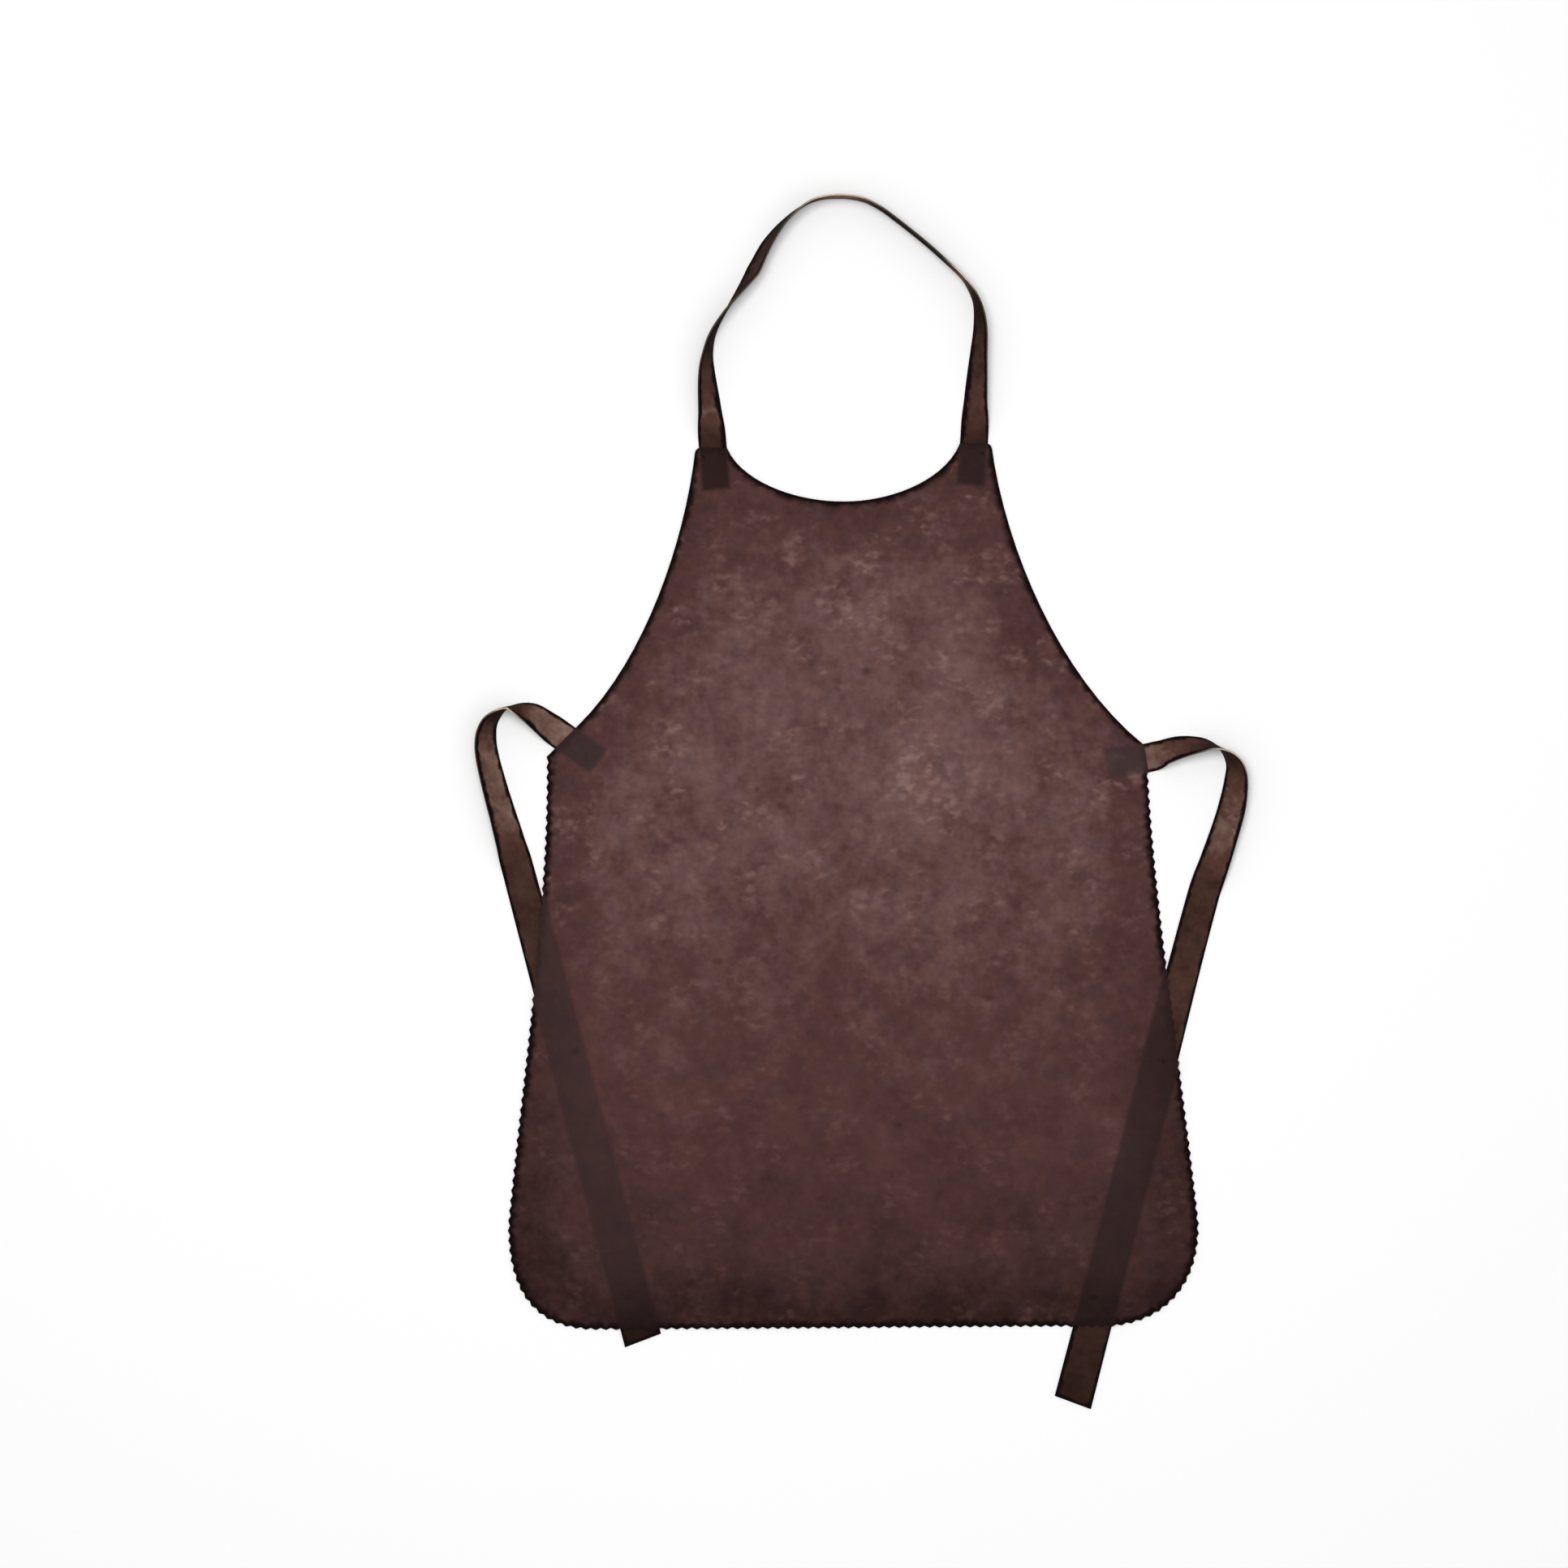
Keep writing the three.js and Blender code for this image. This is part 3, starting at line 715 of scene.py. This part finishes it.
def strap_beneath():
    """A straight stretch of strap as it shows through the leather laid over it, as a mask for its painted
    shadow
    """
    tree, given, made = new_group(
        "strap beneath",
        {"Position": "Vector", "Start": "Vector", "Heading": "Vector", "Length": "Float",
         "Width": "Float", "Softness": "Float"}, {"Mask": "Float"})
    offset = vector_maths(tree, "SUBTRACT", given.outputs["Position"], given.outputs["Start"])
    sideways = vector_maths(tree, "CROSS_PRODUCT", given.outputs["Heading"], (0, 0, 1))
    along = vector_maths(tree, "DOT_PRODUCT", offset, given.outputs["Heading"], output="Value")
    across = maths(tree, "ABSOLUTE", vector_maths(tree, "DOT_PRODUCT", offset, sideways, output="Value"))
    inside_width = maths(tree, "SUBTRACT", maths(tree, "MULTIPLY", given.outputs["Width"], 0.5), across)
    inside_end = maths(tree, "SUBTRACT", given.outputs["Length"], along)
    inside = maths(tree, "MINIMUM", inside_width, maths(tree, "MINIMUM", along, inside_end))
    softness = given.outputs["Softness"]
    mask = stretch_range(tree, inside, maths(tree, "MULTIPLY", softness, -1.0), softness)
    tree.links.new(mask, made.inputs["Mask"])
    return tree


def tone_patch():
    """A soft round patch that makes the leather paler or darker, as tone and as painted light and shade"""
    tree, given, made = new_group(
        "tone patch", {"Position": "Vector", "Centre": "Vector", "Radius": "Float"}, {"Mask": "Float"})
    offset = vector_maths(tree, "SUBTRACT", given.outputs["Position"], given.outputs["Centre"])
    away = vector_maths(tree, "LENGTH", offset, output="Value")
    share = maths(tree, "DIVIDE", away, given.outputs["Radius"])
    tree.links.new(stretch_range(tree, share, 0.0, 1.0, 1.0, 0.0), made.inputs["Mask"])
    return tree


def leather_colour():
    """Three steps of one leather, deep, middle and light, by tone from 0 to 1"""
    tree, given, made = new_group(
        "leather colour",
        {"Tone": "Float", "Deep": "Color", "Middle": "Color", "Light": "Color"}, {"Colour": "Color"})
    lower = maths(tree, "MULTIPLY", given.outputs["Tone"], 2.0, clamp=True)
    upper = maths(tree, "MULTIPLY_ADD", given.outputs["Tone"], 2.0, -1.0, clamp=True)
    first = mix_colours(tree, lower, given.outputs["Deep"], given.outputs["Middle"])
    tree.links.new(mix_colours(tree, upper, first, given.outputs["Light"]), made.inputs["Colour"])
    return tree


MOTTLING = nubuck_mottling()
NAP = suede_nap()
BURNISH = burnished_edge()
BENEATH = strap_beneath()
PATCH = tone_patch()
COLOUR = leather_colour()


def new_material(name):
    material = bpy.data.materials.new(name)
    material.use_nodes = True
    tree = material.node_tree
    tree.nodes.clear()
    output = tree.nodes.new("ShaderNodeOutputMaterial")
    shader = tree.nodes.new("ShaderNodeBsdfPrincipled")
    tree.links.new(shader.outputs["BSDF"], output.inputs["Surface"])
    return material, tree, shader


def finish_leather(tree, shader, position, colour):
    """Gives a leather its colour and nap"""
    nap = use_group(tree, NAP, position=position)
    bump = add_node(tree, "ShaderNodeBump", {
        "Height": nap.outputs["Height"], "Distance": NAP_DEPTH, "Strength": NAP_STRENGTH})
    tree.links.new(colour, shader.inputs["Base Color"])
    tree.links.new(nap.outputs["Roughness"], shader.inputs["Roughness"])
    tree.links.new(bump.outputs["Normal"], shader.inputs["Normal"])
    shader.inputs["Specular IOR Level"].default_value = LEATHER_SPECULAR


def attribute_value(tree, name):
    return add_node(tree, "ShaderNodeAttribute", attribute_name=name).outputs["Fac"]


def object_position(tree):
    return add_node(tree, "ShaderNodeTexCoord").outputs["Object"]


def panel_nubuck(stretches):
    """The panel's face: mottled nubuck with painted shade towards the hem and edges and a painted shadow
    over the straps beneath
    """
    material, tree, shader = new_material("panel nubuck")
    position = object_position(tree)
    distance = attribute_value(tree, "edge distance")
    beneath = [
        use_group(
            tree, BENEATH, position=position, start=stretch.start.to_3d(),
            heading=stretch.heading.to_3d(), length=stretch.length, width=stretch.width,
            softness=BENEATH_SOFTNESS).outputs["Mask"]
        for stretch in stretches
    ]
    pressed = beneath[0]
    for mask in beneath[1:]:
        pressed = maths(tree, "MAXIMUM", pressed, mask)
    lively = stretch_straight(tree, pressed, 0.0, 1.0, 1.0, MOTTLING_OVER_STRAP)

    low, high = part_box("panel")
    upwards = add_node(tree, "ShaderNodeSeparateXYZ", {"Vector": position}).outputs["Y"]
    up = stretch_straight(tree, upwards, low.y, high.y)
    # painted light by height, falling off as painted shade towards the hem
    tone = tone_curve(tree, up, PANEL_PAINTED_LIGHT_BY_HEIGHT)
    # painted shade towards the cut edge
    painted_shade_near_edge = stretch_range(tree, distance, 0.0, PAINTED_SHADE_REACH, 1.0, 0.0)
    tone = maths(tree, "MULTIPLY_ADD", painted_shade_near_edge, -PAINTED_EDGE_SHADE, tone)
    rubbed = 0.0
    # patches of tone, the first a painted pool of light and the last painted shade
    for patch in TONE_AND_PAINTED_LIGHT_PATCHES:
        mask = use_group(tree, PATCH, position=position, centre=(patch["x"], patch["y"], 0),
                         radius=patch["radius"]).outputs["Mask"]
        tone = maths(tree, "MULTIPLY_ADD", mask, patch["tone"], tone)
        rubbed = maths(tree, "MULTIPLY_ADD", mask, patch["flecks"], rubbed)
    mottling = use_group(tree, MOTTLING, position=position, rubbed=rubbed)
    clouding_gain = stretch_range(tree, up, *CLOUDING_RISE, *CLOUDING_GAINS)
    clouding = maths(tree, "MULTIPLY", mottling.outputs["Clouding"], clouding_gain)
    fleck_gain = stretch_range(tree, up, *CLOUDING_RISE, *FLECK_GAINS)
    flecks = maths(tree, "MULTIPLY", mottling.outputs["Flecks"], fleck_gain)
    flecks = maths(tree, "MULTIPLY", flecks, lively)
    tone = maths(tree, "MULTIPLY_ADD", clouding, lively, tone)
    tone = maths(tree, "ADD", tone, flecks)
    tone = maths(tree, "MULTIPLY_ADD", mottling.outputs["Specks"], -SPECK_GAIN, tone)
    colour = use_group(tree, COLOUR, tone=tone, **PANEL_BROWN).outputs["Colour"]
    colour = mix_colours(tree, mottling.outputs["Drift"], colour, PLUM_TINT, blend_type="MULTIPLY")
    colour = mix_colours(tree, maths(tree, "MULTIPLY", flecks, FLECK_MIX), colour, FLECK)
    burnish = use_group(
        tree, BURNISH, position=position, distance=distance, line_width=EDGE_LINE,
        core=PANEL_LINE_CORE).outputs["Mask"]
    # painted shadow of each strap beneath, as if seen through the panel
    for stretch, mask in zip(stretches, beneath):
        colour = mix_colours(tree, mask, colour, (*stretch.tint, 1.0), blend_type="MULTIPLY")
    faded = stretch_straight(tree, pressed, 0.0, 1.0, 1.0, BURNISH_OVER_STRAP)
    burnish = maths(tree, "MULTIPLY", burnish, faded)
    colour = mix_colours(tree, burnish, colour, EDGE_DARK)
    finish_leather(tree, shader, position, colour)
    return material


def plain_leather(name, tone, line_width, colours):
    """Mottled leather with a burnished line along its cut edges.

    Where no tone or line width is given, the piece's own attributes give them, place by place.
    """
    material, tree, shader = new_material(name)
    position = object_position(tree)
    mottling = use_group(tree, MOTTLING, position=position)
    # a strap's tone attribute carries its painted light and shade
    tone = tone or attribute_value(tree, "tone")
    clouding = maths(tree, "MULTIPLY", mottling.outputs["Clouding"], STRAP_CLOUDING)
    flecks = maths(tree, "MULTIPLY_ADD", mottling.outputs["Flecks"], STRAP_FLECKS, clouding)
    shown = stretch_range(tree, tone, *LIT_TONES, *LIT_MOTTLING)
    tone = maths(tree, "MULTIPLY_ADD", flecks, shown, tone)
    colour = use_group(tree, COLOUR, tone=tone, **colours).outputs["Colour"]
    edge = use_group(tree, BURNISH, position=position, distance=attribute_value(tree, "edge distance"),
                     line_width=line_width or attribute_value(tree, "line width"), core=STRAP_LINE_CORE)
    colour = mix_colours(tree, edge.outputs["Mask"], colour, EDGE_DARK)
    finish_leather(tree, shader, position, colour)
    return material


def cut_edge_leather():
    """The cut edge: nearly black, and olive where a strap is lit"""
    material, tree, shader = new_material("burnished cut edge")
    position = object_position(tree)
    fibres = use_group(tree, NAP, position=position).outputs["Height"]
    fibres_lit = stretch_range(tree, fibres, *EDGE_FIBRE_RANGE, *EDGE_FIBRE_LIGHT)
    lit = maths(tree, "MULTIPLY", fibres_lit, attribute_value(tree, "painted edge light"))
    colour = mix_colours(tree, lit, EDGE_DARK, PAINTED_LIT_EDGE_OLIVE)
    finish_leather(tree, shader, position, colour)
    return material


def studio_floor():
    material, tree, shader = new_material("studio floor")
    shader.inputs["Base Color"].default_value = FLOOR_GREY
    shader.inputs["Roughness"].default_value = FLOOR_ROUGHNESS
    shader.inputs["Specular IOR Level"].default_value = 0.0
    return material


# The studio

def make_floor():
    bm = bmesh.new()
    bmesh.ops.create_grid(bm, x_segments=1, y_segments=1, size=FLOOR_SIZE / 2)
    bmesh.ops.translate(bm, verts=bm.verts, vec=(0, 0, -FLOOR_DEPTH))
    floor = finish_mesh(bm, "floor", [studio_floor()])
    floor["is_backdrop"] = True


def make_light(name, place, size, power):
    """A square soft box aimed at the apron's middle"""
    lamp = bpy.data.lights.new(name, "AREA")
    lamp.size = size
    lamp.energy = power
    light = bpy.data.objects.new(name, lamp)
    light.location = place
    light.rotation_euler = (-Vector(place)).to_track_quat("-Z", "Y").to_euler()
    bpy.context.collection.objects.link(light)


def make_camera():
    """Straight above, with the whole apron in the picture"""
    lens = bpy.data.cameras.new("overhead camera")
    lens.sensor_width = SENSOR_WIDTH
    lens.lens = SENSOR_WIDTH * CAMERA_PLACE[2] / PICTURE_WIDTH
    camera = bpy.data.objects.new("overhead camera", lens)
    camera.location = CAMERA_PLACE
    bpy.context.collection.objects.link(camera)
    bpy.context.scene.camera = camera


def light_studio():
    """Soft light from overhead, with a little from all round"""
    bpy.context.scene.view_settings.view_transform = "Standard"
    world = bpy.data.worlds.new("studio")
    world.use_nodes = True
    sky = world.node_tree.nodes["Background"]
    sky.inputs["Color"].default_value = WHITE
    sky.inputs["Strength"].default_value = SKY_STRENGTH
    bpy.context.scene.world = world
    for light in LIGHTS:
        make_light(**light)


make_camera()
light_studio()
make_floor()

sections = {name: strap_sections(name, look["start"]) for name, look in STRAPS.items()}
hidden = {}
for name, way in sections.items():
    first_end, last_end = STRAPS[name]["ends"]
    hidden[name] = [flat_stretch(way, first_end["tint"]), flat_stretch(way[::-1], last_end["tint"])]
all_hidden = sum(hidden.values(), [])

cut_edge = cut_edge_leather()
strap_leather = plain_leather("strap nubuck", None, None, STRAP_TAN)
flesh_leather = plain_leather("panel flesh side", FLESH_TONE, EDGE_LINE, STRAP_TAN)

pieces = {}
for name, way in sections.items():
    pieces[name] = make_strap(
        f"{name}_leather", way, STRAPS[name], hidden[name], [strap_leather, strap_leather, cut_edge])
    flat, area = cut_size(way)

pattern = panel_pattern()
area = sum(face.calc_area() for face in pattern.faces)
materials = [panel_nubuck(all_hidden), flesh_leather, cut_edge]
pieces["panel"] = make_panel("panel_leather", pattern, all_hidden, materials)
low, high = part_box("panel")
flat = (high.x - low.x, high.y - low.y)

for name, piece in pieces.items():
    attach(piece, "root")
    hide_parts(name)

low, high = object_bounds()
